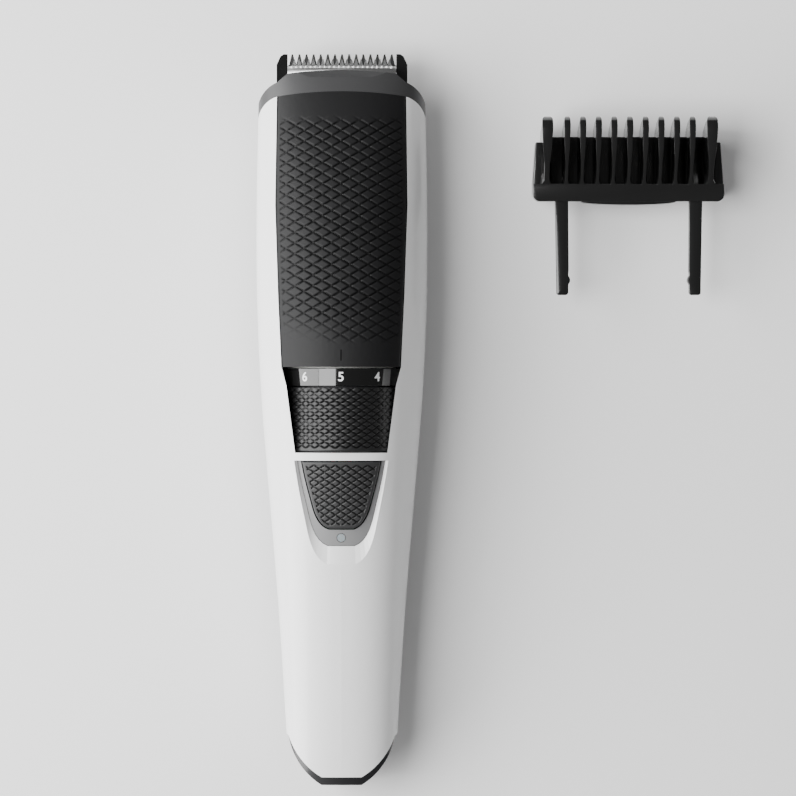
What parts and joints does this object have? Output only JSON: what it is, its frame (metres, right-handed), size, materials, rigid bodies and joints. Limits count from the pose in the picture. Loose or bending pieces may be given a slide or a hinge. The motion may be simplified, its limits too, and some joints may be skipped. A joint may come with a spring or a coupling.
{
  "type": "beard trimmer",
  "caption": "Slim cordless beard trimmer lying on its back, with a textured grip, length wheel, push button, toothed cutting head and a loose guard comb beside it.",
  "frame": {"origin": "centre of the flat rest pad on the back of the handle, on the surface it lies on", "axes": "+Z out of the front face, up when it lies on its back; +Y along the handle towards the blades; +X to the right seen from the front"},
  "size_m": [0.1153, 0.1795, 0.0348],
  "materials": {
    "white_shell": "gloss",
    "black_shell": "satin",
    "dark_satin": "satin",
    "collar_grey": "satin",
    "bezel_grey": "satin",
    "clear_light": "frosted",
    "knurl_black": "satin",
    "ring_black": "gloss",
    "blade_steel": "ground",
    "comb_black": "gloss",
    "inner_plastic": "matt",
    "cell_metal": "satin",
    "contact_metal": "satin",
    "board_green": "satin",
    "motor_steel": "satin",
    "lead_red": "satin",
    "cam_white": "satin"
  },
  "bodies": {
    "housing": {"front_shell": "white_shell", "rear_shell": "black_shell", "base_cap": "black_shell", "top_collar": "collar_grey", "front_grip": "dark_satin", "button_bezel": "bezel_grey", "led_lens": "clear_light", "chassis": "inner_plastic", "detent_spring": "contact_metal", "battery_cell": "cell_metal", "battery_contacts": "contact_metal", "circuit_board": "board_green", "switch_body": "inner_plastic", "board_chips": "ring_black", "status_led": "clear_light", "charge_jack": "ring_black", "motor_leads": "lead_red", "motor_can": "motor_steel", "motor_end_cap": "cam_white", "motor_bracket": "inner_plastic", "motor_screws": "motor_steel", "hinge_pin": "motor_steel"},
    "wheel": {"zoom_wheel": "knurl_black", "number_ring": "ring_black", "cam_sleeve": "cam_white"},
    "carrier": {"comb_carrier": "inner_plastic", "follower_pin": "motor_steel"},
    "button": {"power_button": "dark_satin"},
    "plunger": {"switch_plunger": "cam_white"},
    "rotor": {"motor_rotor": "motor_steel", "crank": "cam_white"},
    "head": {"head_frame": "ring_black", "fixed_blade": "blade_steel", "blade_cover": "blade_steel", "head_hood": "blade_steel", "blade_screws": "motor_steel"},
    "cutter": {"moving_blade": "blade_steel", "drive_yoke": "cam_white"},
    "comb": {"guard_comb": "comb_black"}
  },
  "joints": [
    {"name": "wheel_turn", "type": "hinge", "parent": "housing", "child": "wheel", "pos_m": [0, 0.002, 0.0194], "axis": [0, 1, 0], "range_deg": [-144, 180]},
    {"name": "comb_lift", "type": "slide", "parent": "housing", "child": "carrier", "axis": [0, 1, 0], "range_m": [-0.004, 0.005]},
    {"name": "button_press", "type": "slide", "parent": "housing", "child": "button", "axis": [0, 0, -1], "range_m": [0, 0.0008], "stiffness_N_per_m": 800, "springref_m": -0.0006},
    {"name": "plunger_press", "type": "slide", "parent": "housing", "child": "plunger", "axis": [0, 0, -1], "range_m": [0, 0.0008]},
    {"name": "motor_spin", "type": "hinge", "parent": "housing", "child": "rotor", "pos_m": [0, 0.045, 0.017], "axis": [0, 1, 0], "continuous": true},
    {"name": "head_tilt", "type": "hinge", "parent": "housing", "child": "head", "pos_m": [0, 0.0836, 0.0076], "axis": [-1, 0, 0], "range_deg": [0, 50]},
    {"name": "cutter_stroke", "type": "slide", "parent": "head", "child": "cutter", "axis": [1, 0, 0], "range_m": [-0.0009, 0.0009]},
    {"name": "comb_pick_up", "type": "slide", "parent": "housing", "child": "comb", "axis": [0, 0, 1], "range_m": [0, 0.05]}
  ],
  "couplings": [
    {"joint": "comb_lift", "follows": "wheel_turn", "m_per_rad": 0.0015915},
    {"joint": "plunger_press", "follows": "button_press", "ratio": 1}
  ]
}
